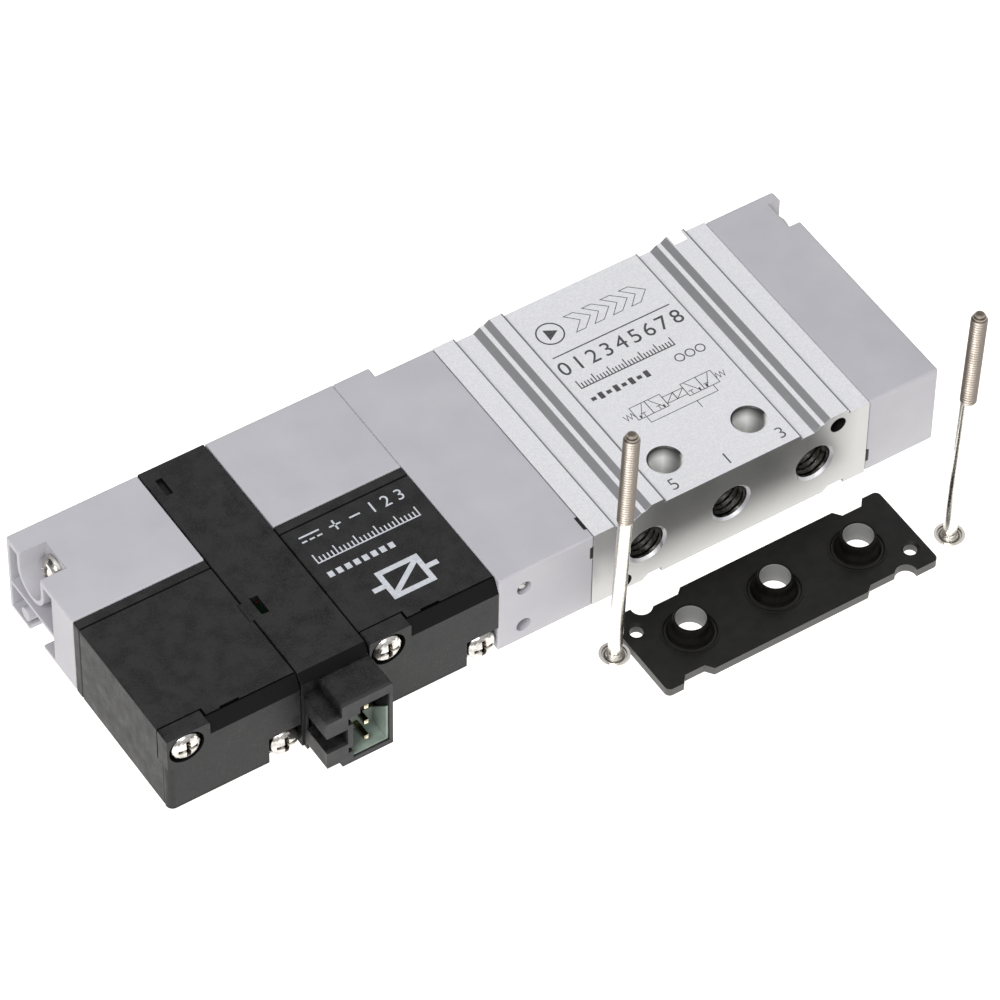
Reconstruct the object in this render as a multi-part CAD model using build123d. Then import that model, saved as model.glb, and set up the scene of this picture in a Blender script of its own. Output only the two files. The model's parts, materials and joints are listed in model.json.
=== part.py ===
from build123d import *
import math
import os

# Double solenoid valve with ports in its body, lying on its side. Millimetres.
# +X runs from the pilot end to the end cap, -Y is the side with ports 1, 3 and 5, +Z is up.
# The origin is the middle of the valve body's underside.

# Driving dimensions: the valve body and the blocks either side of it.
THICKNESS = 12.6
BODY_LENGTH = 40.0
BODY_WIDTH = 35.7
ADAPTER_LENGTH = 13.4
END_CAP_LENGTH = 10.3
COIL_LENGTH = 18.0
STRAP_WIDTH = 9.5
STRAP_THICKNESS = 1.1
DISH_DEPTH = 0.15
PILOT_BACK_STEP = 1.55
SPLIT_Y = 3.75
PORT_PITCH = 12.2

X_BODY = BODY_LENGTH / 2
X_ADAPTER = -X_BODY - ADAPTER_LENGTH
X_STRAP_RIGHT = X_ADAPTER - COIL_LENGTH
X_STRAP_LEFT = X_STRAP_RIGHT - STRAP_WIDTH
X_LEFT = X_STRAP_LEFT - COIL_LENGTH
X_RIGHT = X_BODY + END_CAP_LENGTH
Y_BACK = BODY_WIDTH / 2
Y_FRONT = -Y_BACK
Y_PILOT_BACK = Y_BACK + PILOT_BACK_STEP
Z_AXIS = THICKNESS / 2
SEAM = 0.05
SHADOW_GAP = 0.2
STRAP_GAP = 0.12
THROUGH = 1.0

# Ridged top of the valve body.
LOW_LAND = 11.9
HIGH_LAND = 13.2
LEDGE = 12.55
RECESS_DEPTH = 0.7
RELIEF_WIDTH = 0.24
RELIEF_DEPTH = 0.2

# Ports, passages and mounting holes.
PORT_R = 2.5
PORT_DEPTH = 6.5
PORT_RIM_R = 2.85
PORT_CHAMFER = 0.35
PASSAGE_R = 0.9
CROSS_HOLE_R = 2.05
CROSS_HOLE_RIM = 0.2
CROSS_HOLE_Y = -12.25
MOUNT_R = 1.1
MOUNT_X = 15.4
MOUNT_Z_HIGH = 11.3
MOUNT_Z_LOW = 1.4
MOUNT_HEAD_R = 2.15
MOUNT_HEAD_DEPTH = 1.7
GALLERY_R = 0.6
GALLERY_Y = 8.0
GALLERY_Z = 9.2
PILOT_LINE_Y = 9.5
PILOT_LINE_Z = 3.0

# Spools and pistons.
BORE_R = 3.6
SPOOL_LAND_R = 3.3
SPOOL_STEM_R = 1.7
SPOOL_TRAVEL = 3.0
PISTON_BORE_R = 4.8
PISTON_R = 4.6
PISTON_IN = 1.2
PISTON_THICKNESS = 1.8
BORE_FLOOR = 9.0
SEAL_CLEARANCE = 0.05
GASKET = 0.42

# Screws.
SCREW_R = 1.0
TAP_R = 1.02
CLEARANCE_R = 1.15
HEAD_R = 2.05
HEAD_HEIGHT = 1.55
END_SCREW_Y = 13.9
END_SCREW_HIGH = 9.6
END_SCREW_DEPTH = 3.2
PILOT_SCREW_Y = 13.75
PILOT_SCREW_Z = 9.9

# Solenoids, measured from each one's left edge.
COIL_AXIS = COIL_LENGTH / 2
COVER_THICKNESS = 1.05
BOSS_LENGTH = 5.8
BOSS_BACK = 2.2
BOSS_FOOT = 7.45
FRAME_THICKNESS = 1.45
COIL_SCREW_TOP = (2.6, 10.15)
COIL_SCREW_LOW = (COIL_LENGTH - 2.2, 2.1)
COUNTERBORE_R = 2.35
COUNTERBORE_DEPTH = 1.0
YOKE_FRONT = -15.55
YOKE_THICKNESS = 0.85
BOBBIN_FRONT = YOKE_FRONT + YOKE_THICKNESS + SEAM
BOBBIN_BACK = 0.5
FLANGE = 0.6
CORE_FACE = -7.0
ARMATURE_R = 2.03
ARMATURE_BORE_R = 2.1
ARMATURE_TRAVEL = 0.5
CHAMBER_R = 3.0
CHAMBER_FLOOR = 6.3
NOZZLE_TIP = 4.95
NOZZLE_R = 0.9

# Manual overrides.
OVERRIDE_R = 1.5
OVERRIDE_STEM_R = 0.65
OVERRIDE_TRAVEL = 0.8
OVERRIDE_RECESS = 0.2

# Plug socket.
SOCKET_FRONT = -23.0
SOCKET_TOP = 10.9
SOCKET_LEFT = X_STRAP_LEFT + 2.5
SOCKET_RIGHT = X_STRAP_RIGHT
CAVITY_LEFT = X_STRAP_LEFT + 4.0
CAVITY_RIGHT = X_STRAP_RIGHT - 0.5
CAVITY_FLOOR = 0.8
CAVITY_TOP = 9.4
CARRIER_FRONT = -19.6
CARRIER_SPLIT = 3.6
PIN_X = CAVITY_LEFT + 2.35
PIN_SIZE = 0.6
PIN_PITCH = 2.8
PIN_Z = (2.2, 2.2 + PIN_PITCH, 2.2 + 2 * PIN_PITCH)

# Loose pieces beside the valve.
GASKET_CENTRE = (-0.7, -28.4)
GASKET_LENGTH = 39.2
GASKET_THICKNESS = 1.2
COLLAR_HOLE_R = 1.85
COLLAR_HEIGHT = 3.7
LONG_SCREW_LENGTH = 39.5
LONG_SCREW_LEAN = 1.9
LONG_SCREW_PLACES = {"left": (-22.45, -26.4), "right": (22.3, -32.4)}

OUT = "parts"


def block(x, y, z):
    """Box between two limits on each axis."""
    middle = [(low + high) / 2 for low, high in (x, y, z)]
    size = [abs(high - low) for low, high in (x, y, z)]
    return Pos(*middle) * Box(*size)


def soft_block(x, y, z, radius):
    """Box whose twelve edges are rounded."""
    return fillet(block(x, y, z).edges(), radius)


def aim(axis, span, centre):
    """Location at the start of a span along one axis, with local +Z along it."""
    start, end = span
    sign = 1 if end > start else -1
    a, b = centre
    origin = {"X": (start, a, b), "Y": (a, start, b), "Z": (a, b, start)}[axis]
    direction = {"X": (sign, 0, 0), "Y": (0, sign, 0), "Z": (0, 0, sign)}[axis]
    return Plane(origin=origin, z_dir=direction).location


def rod(axis, span, centre, radius, tip_radius=None):
    """Cylinder along an axis, or a cone when the radius at its end differs."""
    height = abs(span[1] - span[0])
    up = (Align.CENTER, Align.CENTER, Align.MIN)
    if tip_radius is None:
        shape = Cylinder(radius, height, align=up)
    else:
        shape = Cone(radius, tip_radius, height, align=up)
    return aim(axis, span, centre) * shape


def ring(axis, span, centre, inner, outer):
    """Tube along an axis."""
    longer = [span[0] - THROUGH, span[1] + THROUGH]
    return rod(axis, span, centre, outer) - rod(axis, longer, centre, inner)


def o_ring(axis, at, centre, inner, outer):
    """Rubber ring of round section."""
    wire = (outer - inner) / 2
    return aim(axis, (at, at + 1), centre) * Torus((outer + inner) / 2, wire)


def spring(axis, span, centre, mean_radius, wire_radius, turns):
    """Compression spring whose wire ends lie inside the span."""
    length = abs(span[1] - span[0]) - 2 * wire_radius
    path = Helix(pitch=length / turns, height=length, radius=mean_radius)
    section = Plane(origin=path @ 0, z_dir=path % 0) * Circle(wire_radius)
    coil = sweep(section, path=path, is_frenet=True)
    return aim(axis, span, centre) * Pos(0, 0, wire_radius) * coil


def turned(points):
    """Solid of revolution about local Z from its (radius, height) outline."""
    outline = Plane.XZ * make_face(Polyline(*points, close=True))
    return revolve(outline, Axis.Z)


def phillips_cut(width, reach, depth):
    """Cross recess with sloping walls that opens upward at local z = 0."""
    cross = Rectangle(2 * reach, width) + Rectangle(width, 2 * reach)
    cross += Rot(0, 0, 45) * Rectangle(width * 1.45, width * 1.45)
    recess = extrude(cross, depth, dir=(0, 0, -1), taper=14)
    return recess + Pos(0, 0, -depth - width * 0.2) * Cone(0.02, width * 0.42, width * 0.5)


def domed_outline(radius, rim, height):
    """Half outline of a screw head: straight rim, then a dome up to its height."""
    points = [(radius, 0)]
    for step in range(9):
        angle = math.radians(90 * step / 8)
        dome = (height - rim) * math.sin(angle) ** 1.3
        points.append((radius * math.cos(angle) ** 0.8, rim + dome))
    return points


def pan_screw(length, head_radius=HEAD_R, head_height=HEAD_HEIGHT):
    """Pan-head screw: underside of the head at z = 0, head above it, shank below."""
    outline = [
        (0, -length),
        (SCREW_R * 0.7, -length),
        (SCREW_R, -length + SCREW_R * 0.5),
        (SCREW_R, 0),
    ]
    body = turned(outline + domed_outline(head_radius, head_height * 0.35, head_height))
    return body - Pos(0, 0, head_height) * phillips_cut(0.62, head_radius * 0.66, head_height * 0.7)


def place_screw(axis, seat, direction, centre, length):
    """Pan screw with its head's underside at seat, its head pointing along direction."""
    return aim(axis, (seat, seat + direction), centre) * pan_screw(length)


# Valve body


def relief_groove(x, z):
    """V-shaped groove cut at the foot of a step, from its left lip to its right one."""
    return [(x, z), (x + RELIEF_WIDTH / 2, z - RELIEF_DEPTH), (x + RELIEF_WIDTH, z)]


def body_outline():
    """Cross-section of the valve body, ridged on top and recessed underneath."""
    step = 0.1
    low_rise = 0.9
    ledge = 0.6
    high_rise = 0.8
    top = []
    for land_start, rise_start, high_end in ((-16.93, -14.1, -9.95), (9.9, 11.9, 16.87)):
        rise = [rise_start, rise_start + low_rise, rise_start + low_rise + ledge]
        top += [(land_start, THICKNESS), *relief_groove(land_start + step, LOW_LAND)]
        top += [(rise[0], LOW_LAND), (rise[1], LEDGE), (rise[2], LEDGE + step / 2)]
        top += [(rise[2] + high_rise, HIGH_LAND), (high_end, HIGH_LAND)]
        top += relief_groove(high_end + step, THICKNESS)
    under = []
    for start, end in ((-12.6, -9.9), (13.8, 16.8)):
        under += [(start, 0), (start + RECESS_DEPTH, RECESS_DEPTH), (end, RECESS_DEPTH), (end, 0)]
    corners = [(-X_BODY, 0), *under, (X_BODY, 0)]
    corners += [(X_BODY, THICKNESS), *reversed(top), (-X_BODY, THICKNESS)]
    return Plane.XZ * make_face(Polyline(*corners, close=True))


def port_cut(x, side):
    """Threaded port with a countersunk rim, and the passage to the main bore."""
    face = side * Y_BACK
    at = (x, Z_AXIS)
    floor = face - side * PORT_DEPTH
    cut = rod("Y", (face + side * THROUGH, floor), at, PORT_R)
    cut += rod("Y", (face, face - side * PORT_CHAMFER), at, PORT_RIM_R, PORT_R)
    cut += rod("Y", (floor, floor - side * PORT_R * 0.6), at, PORT_R, PASSAGE_R)
    return cut + rod("Y", (floor, side), at, PASSAGE_R)


def mounting_bore(x, z):
    """Bore for one long mounting screw, with room for its head at the back."""
    bore = rod("Y", (Y_FRONT - THROUGH, Y_BACK + THROUGH), (x, z), MOUNT_R)
    return bore + rod("Y", (Y_BACK - MOUNT_HEAD_DEPTH, Y_BACK + THROUGH), (x, z), MOUNT_HEAD_R)


def end_screw_places(side):
    """The two screws that hold a block to one end of the body: (y, z) pairs."""
    return ((side * END_SCREW_Y, END_SCREW_HIGH), (-side * END_SCREW_Y, THICKNESS - END_SCREW_HIGH))


def valve_body():
    body = Pos(0, Y_BACK, 0) * extrude(body_outline(), BODY_WIDTH, dir=(0, -1, 0))
    body -= rod("X", (-X_BODY - THROUGH, X_BODY + THROUGH), (0, Z_AXIS), BORE_R)
    body -= rod("X", (-X_BODY - THROUGH, X_BODY + THROUGH), (GALLERY_Y, GALLERY_Z), GALLERY_R)
    for x in (-PORT_PITCH, 0, PORT_PITCH):
        body -= port_cut(x, -1)
    for x in (-PORT_PITCH / 2, PORT_PITCH / 2):
        body -= port_cut(x, 1)
        body -= rod("Z", (-THROUGH, HIGH_LAND + THROUGH), (x, CROSS_HOLE_Y), CROSS_HOLE_R)
        rim = (THICKNESS, THICKNESS - CROSS_HOLE_RIM)
        body -= rod("Z", rim, (x, CROSS_HOLE_Y), CROSS_HOLE_R + CROSS_HOLE_RIM, CROSS_HOLE_R)
    body -= mounting_bore(MOUNT_X, MOUNT_Z_HIGH)
    body -= mounting_bore(-MOUNT_X, MOUNT_Z_LOW)
    for side in (-1, 1):
        for place in end_screw_places(side):
            body -= rod("X", (side * (X_BODY + THROUGH), side * (X_BODY - END_SCREW_DEPTH)), place, TAP_R)
    return body


# Gaskets at the two ends of the body


def end_gasket_shape(side, grow=0.0):
    """Gasket sheet with the tabs that reach the outside, or its pocket when grown."""
    x = sorted((side * X_BODY, side * (X_BODY + GASKET + grow)))
    margin = 1.0 - grow
    sheet = block(x, (Y_FRONT + margin, Y_BACK - margin), (margin, THICKNESS - margin))
    if side < 0:
        sheet += block(x, (-16.4, -14.2), (THICKNESS / 2, THICKNESS))
        sheet += block(x, (Y_FRONT, 0), (8.7, 10.7))
    else:
        sheet += block(x, (Y_FRONT, 0), (1.9, 3.9))
        sheet += block(x, (14.2, 16.4), (0, THICKNESS / 2))
    return sheet


def end_gasket(side):
    sheet = end_gasket_shape(side)
    span = (side * (X_BODY - THROUGH), side * (X_BODY + THROUGH))
    sheet -= rod("X", span, (0, Z_AXIS), PISTON_BORE_R + 0.3)
    sheet -= rod("X", span, (GALLERY_Y, GALLERY_Z), GALLERY_R + 0.2)
    for place in end_screw_places(side):
        sheet -= rod("X", span, place, CLEARANCE_R + 0.1)
    return sheet


# Adapter plate and end cap


def piston_room(side):
    """Room for one piston and its return spring."""
    return rod("X", (side * X_BODY, side * (X_BODY + BORE_FLOOR)), (0, Z_AXIS), PISTON_BORE_R)


def adapter_plate():
    body = soft_block((X_ADAPTER, -X_BODY), (Y_FRONT, Y_BACK), (0, THICKNESS), 0.25)
    rib = (X_ADAPTER, X_ADAPTER + 5.2)
    body += soft_block(rib, (Y_BACK - 3.0, Y_PILOT_BACK), (0, THICKNESS), 0.25)
    body -= end_gasket_shape(-1, SEAM)
    body -= piston_room(-1)
    body -= rod("X", (X_ADAPTER - THROUGH, -X_BODY), (GALLERY_Y, GALLERY_Z), GALLERY_R)
    body -= rod("X", (X_ADAPTER - THROUGH, -X_BODY), (PILOT_LINE_Y, PILOT_LINE_Z), GALLERY_R)
    body -= block((-X_BODY - 1.4, -X_BODY), (3.5, PILOT_LINE_Y), (PILOT_LINE_Z - 0.4, PILOT_LINE_Z + 0.4))
    for place in end_screw_places(-1):
        body -= rod("X", (X_ADAPTER - THROUGH, -X_BODY), place, CLEARANCE_R)
        body -= rod("X", (X_ADAPTER - THROUGH, X_ADAPTER + 2.2), place, HEAD_R + 0.2)
    body -= rod("X", (X_ADAPTER - THROUGH, X_ADAPTER + 4.0), (PILOT_SCREW_Y, PILOT_SCREW_Z), TAP_R)
    for z, depth in ((9.3, 2.3), (2.6, 1.6)):
        body -= rod("Y", (Y_FRONT - THROUGH, Y_FRONT + depth), (X_ADAPTER + 3.6, z), 1.0)
    return body


def gallery_ball():
    """Steel ball pressed into the upper drilling of the adapter."""
    return Pos(X_ADAPTER + 3.6, Y_FRONT + 1.15, 9.3) * Sphere(0.97)


def adapter_screws():
    return [place_screw("X", X_ADAPTER + 2.2, -1, place, 14.0) for place in end_screw_places(-1)]


def end_cap_notch(place):
    """Corner notch that the head of an end-cap screw sits in."""
    y, z = place
    reach = (z - 2.4, THICKNESS + THROUGH) if z > Z_AXIS else (-THROUGH, z + 2.4)
    return block((X_RIGHT - 1.8, X_RIGHT + THROUGH), (y - 2.3, y + 2.3), reach)


def end_cap():
    body = soft_block((X_BODY, X_RIGHT), (Y_FRONT, Y_BACK), (0, THICKNESS), 0.45)
    body -= end_gasket_shape(1, SEAM)
    body -= piston_room(1)
    channel = (X_BODY, X_BODY + 1.4)
    body -= block(channel, (3.5, GALLERY_Y), (GALLERY_Z - 0.4, GALLERY_Z + 0.4))
    for place in end_screw_places(1):
        body -= rod("X", (X_BODY, X_RIGHT + THROUGH), place, CLEARANCE_R)
        body -= end_cap_notch(place)
    return body


def end_cap_screws():
    return [place_screw("X", X_RIGHT - 1.8, 1, place, 11.2) for place in end_screw_places(1)]


# Spools: each has a stem with two grooved lands and a piston on its outer end


def spool_lands():
    """Centres of the two seals, measured outward from the middle of the body."""
    return (PORT_PITCH / 2 - 1.5, PORT_PITCH + 2.8)


def spool(side):
    inner_end = spool_lands()[0] - 0.9
    piston_face = X_BODY + PISTON_IN
    outer_end = piston_face + PISTON_THICKNESS
    centre = (0, Z_AXIS)
    body = rod("X", (side * inner_end, side * outer_end), centre, SPOOL_STEM_R)
    for at in spool_lands():
        body += rod("X", (side * (at - 0.9), side * (at + 0.9)), centre, SPOOL_LAND_R)
        body -= ring("X", sorted((side * (at - 0.5), side * (at + 0.5))), centre, 2.55, SPOOL_LAND_R + 1)
    body += rod("X", (side * piston_face, side * outer_end), centre, PISTON_R)
    groove = (piston_face + 0.4, outer_end - 0.4)
    body -= ring("X", sorted(side * x for x in groove), centre, 3.7, PISTON_R + 1)
    return body + rod("X", (side * outer_end, side * (outer_end + 0.8)), centre, 2.3)


def spool_seals(side):
    outer = BORE_R - SEAL_CLEARANCE
    return [o_ring("X", side * at, (0, Z_AXIS), 2.56, outer) for at in spool_lands()]


def piston_seal(side):
    start = X_BODY + PISTON_IN + 0.42
    span = sorted((side * start, side * (start + 0.96)))
    return ring("X", span, (0, Z_AXIS), 3.72, PISTON_BORE_R - SEAL_CLEARANCE)


def spool_spring(side):
    start = X_BODY + PISTON_IN + PISTON_THICKNESS + 0.02
    span = (side * start, side * (X_BODY + BORE_FLOOR - 0.02))
    return spring("X", span, (0, Z_AXIS), 2.95, 0.25, 4)


# Pilot block


def open_end():
    """Moulded pockets and the screw channel in the pilot block's outer end."""
    depth = 3.6
    x = (X_LEFT - THROUGH, X_LEFT + depth)
    channel_y = (PILOT_SCREW_Y - 2.45, PILOT_SCREW_Y + 2.45)
    wall = 0.65
    boss = rod("X", x, (PILOT_SCREW_Y, PILOT_SCREW_Z), 2.45 + wall)
    boss += block(x, (channel_y[0] - wall, channel_y[1] + wall), (PILOT_SCREW_Z, THICKNESS))
    upper = block(x, (8.7, Y_PILOT_BACK - 0.7), (5.3, THICKNESS - 0.8)) - boss
    lower = block(x, (8.7, Y_PILOT_BACK - 0.7), (0.7, 4.7))
    lower += block(x, (11.3, 14.9), (-THROUGH, 3.0))
    lower -= rod("X", x, (15.6, 2.1), 0.95)
    channel = rod("X", x, (PILOT_SCREW_Y, PILOT_SCREW_Z), 2.45)
    channel += block(x, channel_y, (PILOT_SCREW_Z, THICKNESS + THROUGH))
    return upper, lower, channel


def pilot_chamber(axis_x):
    """Chamber round the nozzle that one armature closes, and its air passages."""
    at = (axis_x, Z_AXIS)
    chamber = rod("Y", (SPLIT_Y - THROUGH, CHAMBER_FLOOR), at, CHAMBER_R)
    chamber -= rod("Y", (CHAMBER_FLOOR, NOZZLE_TIP), at, NOZZLE_R + 0.4, NOZZLE_R)
    chamber += rod("Y", (NOZZLE_TIP - THROUGH, PILOT_LINE_Y + 0.4), at, 0.35)
    chamber += ring("Y", (SPLIT_Y - THROUGH, SPLIT_Y + 0.85), at, 3.35, 4.3)
    return chamber


def override_bore(axis_x):
    at = (axis_x, Z_AXIS)
    bore = rod("Y", (Y_PILOT_BACK + THROUGH, Y_PILOT_BACK - 5.0), at, OVERRIDE_R + 0.05)
    return bore + rod("Y", (Y_PILOT_BACK - 4.0, PILOT_LINE_Y), at, OVERRIDE_STEM_R + 0.05)


def pilot_gasket_shape(grow=0.0):
    x = (X_ADAPTER - 0.5 - grow, X_ADAPTER)
    margin = 1.2 - grow
    return block(x, (SPLIT_Y + margin, Y_PILOT_BACK - margin), (margin, THICKNESS - margin))


def pilot_gasket():
    sheet = pilot_gasket_shape()
    span = (X_ADAPTER - THROUGH, X_ADAPTER + THROUGH)
    sheet -= rod("X", span, (GALLERY_Y, GALLERY_Z), GALLERY_R + 0.2)
    sheet -= rod("X", span, (PILOT_LINE_Y, PILOT_LINE_Z), GALLERY_R + 0.2)
    return sheet - rod("X", span, (PILOT_SCREW_Y, PILOT_SCREW_Z), CLEARANCE_R + 0.1)


def coil_axes():
    return {"left": X_LEFT + COIL_AXIS, "right": X_STRAP_RIGHT + COIL_AXIS}


def pilot_block():
    body = soft_block((X_LEFT, X_ADAPTER), (SPLIT_Y, Y_PILOT_BACK), (0, THICKNESS), 0.25)
    for pocket in open_end():
        body -= pocket
    strap_x = (X_STRAP_LEFT - SEAM, X_STRAP_RIGHT + SEAM)
    strap_y = (SPLIT_Y - THROUGH, Y_PILOT_BACK + THROUGH)
    body -= block(strap_x, strap_y, (THICKNESS - STRAP_THICKNESS - SEAM, THICKNESS + THROUGH))
    for axis_x in coil_axes().values():
        body -= pilot_chamber(axis_x)
        body -= override_bore(axis_x)
    body -= rod("X", (coil_axes()["left"], X_ADAPTER + THROUGH), (PILOT_LINE_Y, PILOT_LINE_Z), 0.5)
    body -= rod("X", (coil_axes()["right"], X_ADAPTER + THROUGH), (GALLERY_Y, GALLERY_Z), 0.5)
    body -= rod("X", (X_LEFT, X_ADAPTER + THROUGH), (PILOT_SCREW_Y, PILOT_SCREW_Z), CLEARANCE_R)
    return body - pilot_gasket_shape(SEAM)


def pilot_screw():
    seat = X_LEFT + 3.6
    return place_screw("X", seat, -1, (PILOT_SCREW_Y, PILOT_SCREW_Z), X_ADAPTER + 3.6 - seat)


# Solenoids; x0 is each one's left edge


def coil_screw_spots(x0):
    return [(x0 + x, z) for x, z in (COIL_SCREW_TOP, COIL_SCREW_LOW)]


def coil_moulding(x0, tab_notch):
    """Moulded block round the coil, cut back at the front for the cover's boss."""
    axis = (x0 + COIL_AXIS, Z_AXIS)
    front = Y_FRONT + COVER_THICKNESS + SEAM
    back = SPLIT_Y - FRAME_THICKNESS - 2 * SEAM
    body = soft_block((x0, x0 + COIL_LENGTH), (front, back), (0, THICKNESS), 0.2)
    boss_x = (x0 - THROUGH, x0 + BOSS_LENGTH + SHADOW_GAP)
    boss_y = (front - THROUGH, Y_FRONT + BOSS_BACK + SHADOW_GAP)
    body -= block(boss_x, boss_y, (BOSS_FOOT - SEAM, THICKNESS + THROUGH))
    groove_x = (x0 - THROUGH, x0 + COIL_LENGTH + THROUGH)
    groove_y = (front - THROUGH, front + SHADOW_GAP - SEAM)
    body -= block(groove_x, groove_y, (THICKNESS - 0.5, THICKNESS + THROUGH))
    body -= rod("Y", (front - THROUGH, back - 0.8), axis, 5.05)
    body -= rod("Y", (front, back + THROUGH), axis, 2.5)
    yoke_x = (axis[0] - 6.3, axis[0] + 6.3)
    body -= block(yoke_x, (front - THROUGH, back - 0.8), (Z_AXIS - 2.1, Z_AXIS + 2.1))
    slot_x = (x0 + 7.9, x0 + 10.5)
    body -= block(slot_x, (front - THROUGH, front + 0.4), (THICKNESS - 0.7, THICKNESS + THROUGH))
    for spot in coil_screw_spots(x0):
        body -= rod("Y", (front - THROUGH, back + THROUGH), spot, CLEARANCE_R)
    if tab_notch:
        notch_x = (x0 + COIL_LENGTH - 0.45, x0 + COIL_LENGTH + THROUGH)
        body -= block(notch_x, (-7.45, -4.45), (THICKNESS - 0.65, THICKNESS + THROUGH))
    return body


def front_wedge(x, foot, back):
    """Wedge that slopes a front edge from a height on the front face to the top at back."""
    start = Y_FRONT - 0.1
    outline = Polyline((start, foot), (back, THICKNESS + 0.02), (start, THICKNESS + 0.5), close=True)
    return Pos(x[0], 0, 0) * extrude(Plane.YZ * make_face(outline), x[1] - x[0])


def coil_front_cover(x0):
    """Front cover: sloped along its top edge, with a boss for the upper screw."""
    back = Y_FRONT + COVER_THICKNESS
    plate = block((x0, x0 + COIL_LENGTH), (Y_FRONT, back), (0, THICKNESS))
    plate = fillet(plate.edges().filter_by(Axis.Z).sort_by(Axis.Y)[:2].sort_by(Axis.X)[:1], 0.9)
    plate -= front_wedge((x0, x0 + COIL_LENGTH + THROUGH), 10.25, back)
    boss = block((x0, x0 + BOSS_LENGTH), (Y_FRONT, Y_FRONT + BOSS_BACK), (BOSS_FOOT, THICKNESS))
    plate += fillet(boss.edges().filter_by(Axis.Y).sort_by(Axis.Z)[-2:], 0.3)
    upper, lower = coil_screw_spots(x0)
    plate -= rod("Y", (Y_FRONT - THROUGH, Y_FRONT + COUNTERBORE_DEPTH), upper, COUNTERBORE_R)
    plate -= rod("Y", (Y_FRONT - THROUGH, Y_FRONT + BOSS_BACK + THROUGH), upper, CLEARANCE_R)
    notch_x = (lower[0] - 2.2, x0 + COIL_LENGTH + THROUGH)
    return plate - block(notch_x, (Y_FRONT - THROUGH, back + THROUGH), (-THROUGH, lower[1] + 2.15))


def coil_back_frame(x0):
    span = (SPLIT_Y - FRAME_THICKNESS - SEAM, SPLIT_Y - SEAM)
    body = soft_block((x0, x0 + COIL_LENGTH), span, (0, THICKNESS), 0.2)
    body -= rod("Y", (0, SPLIT_Y + THROUGH), (x0 + COIL_AXIS, Z_AXIS), 2.5)
    for spot in coil_screw_spots(x0):
        body -= rod("Y", (0, SPLIT_Y + THROUGH), spot, CLEARANCE_R)
    return body


def coil_screws():
    """Two screws for each solenoid; they end in the back frames' threaded holes."""
    screws = []
    for x0 in (X_LEFT, X_STRAP_RIGHT):
        seats = (Y_FRONT + COUNTERBORE_DEPTH, Y_FRONT + COVER_THICKNESS + SEAM)
        for seat, spot in zip(seats, coil_screw_spots(x0)):
            screws.append(place_screw("Y", seat, -1, spot, SPLIT_Y - 0.2 - seat))
    return screws


def bobbin(x):
    at = (x, Z_AXIS)
    body = ring("Y", (BOBBIN_FRONT, SPLIT_Y + 0.2), at, ARMATURE_BORE_R, 2.4)
    for y in (BOBBIN_FRONT, BOBBIN_BACK - FLANGE):
        body += ring("Y", (y, y + FLANGE), at, ARMATURE_BORE_R, 4.9)
    return body


def winding(x):
    """Copper winding with a gently ridged outside."""
    layers = 12
    start = BOBBIN_FRONT + FLANGE + SEAM
    end = BOBBIN_BACK - FLANGE - SEAM
    pitch = (end - start) / layers
    outline = [(2.45, start), (4.45, start)]
    for turn in range(layers):
        outline.append((4.6, start + (turn + 0.5) * pitch))
        outline.append((4.45, start + (turn + 1) * pitch))
    outline.append((2.45, end))
    return aim("Y", (0, 1), (x, Z_AXIS)) * turned(outline)


def yoke(x):
    """Steel strip bent into a U round the winding."""
    z = (Z_AXIS - 2.0, Z_AXIS + 2.0)
    web = (YOKE_FRONT, YOKE_FRONT + YOKE_THICKNESS)
    body = block((x - 6.2, x + 6.2), web, z)
    body += rod("Y", web, (x, Z_AXIS), 4.6)
    for side in (-1, 1):
        body += block(sorted((x + side * 5.4, x + side * 6.2)), (web[0], BOBBIN_BACK), z)
    return body - rod("Y", (web[0] - THROUGH, web[1] + THROUGH), (x, Z_AXIS), 1.0)


def yoke_plate(x):
    """Steel plate that closes the U at the armature's end."""
    span = (BOBBIN_BACK + SEAM, BOBBIN_BACK + 0.75)
    body = block((x - 6.2, x + 6.2), span, (Z_AXIS - 2.0, Z_AXIS + 2.0))
    body += rod("Y", span, (x, Z_AXIS), 4.9)
    return body - rod("Y", (0, 2), (x, Z_AXIS), 2.45)


def fixed_core(x):
    at = (x, Z_AXIS)
    stub_end = YOKE_FRONT + YOKE_THICKNESS + SEAM
    body = rod("Y", (stub_end, CORE_FACE), at, ARMATURE_R)
    body += rod("Y", (YOKE_FRONT + SEAM, stub_end), at, 0.95)
    return body - rod("Y", (CORE_FACE - 2.0, CORE_FACE + THROUGH), at, 1.1)


def armature_front():
    """Front end of the armature when it rests on the nozzle."""
    return CORE_FACE + ARMATURE_TRAVEL + SEAM


def armature(x):
    at = (x, Z_AXIS)
    rest = armature_front()
    body = rod("Y", (rest, NOZZLE_TIP - 0.2), at, ARMATURE_R)
    body -= rod("Y", (rest - THROUGH, rest + 1.5), at, 1.1)
    return body - rod("Y", (NOZZLE_TIP - 1.0, NOZZLE_TIP + THROUGH), at, 1.25)


def armature_seal(x):
    return rod("Y", (NOZZLE_TIP - 0.98, NOZZLE_TIP - 0.03), (x, Z_AXIS), 1.23)


def armature_spring(x):
    span = (CORE_FACE - 1.98, armature_front() + 1.48)
    return spring("Y", span, (x, Z_AXIS), 0.85, 0.13, 6)


def pilot_o_ring(x):
    return o_ring("Y", SPLIT_Y + 0.41, (x, Z_AXIS), 3.42, 4.22)


# Manual overrides in the pilot block's back face


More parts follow.
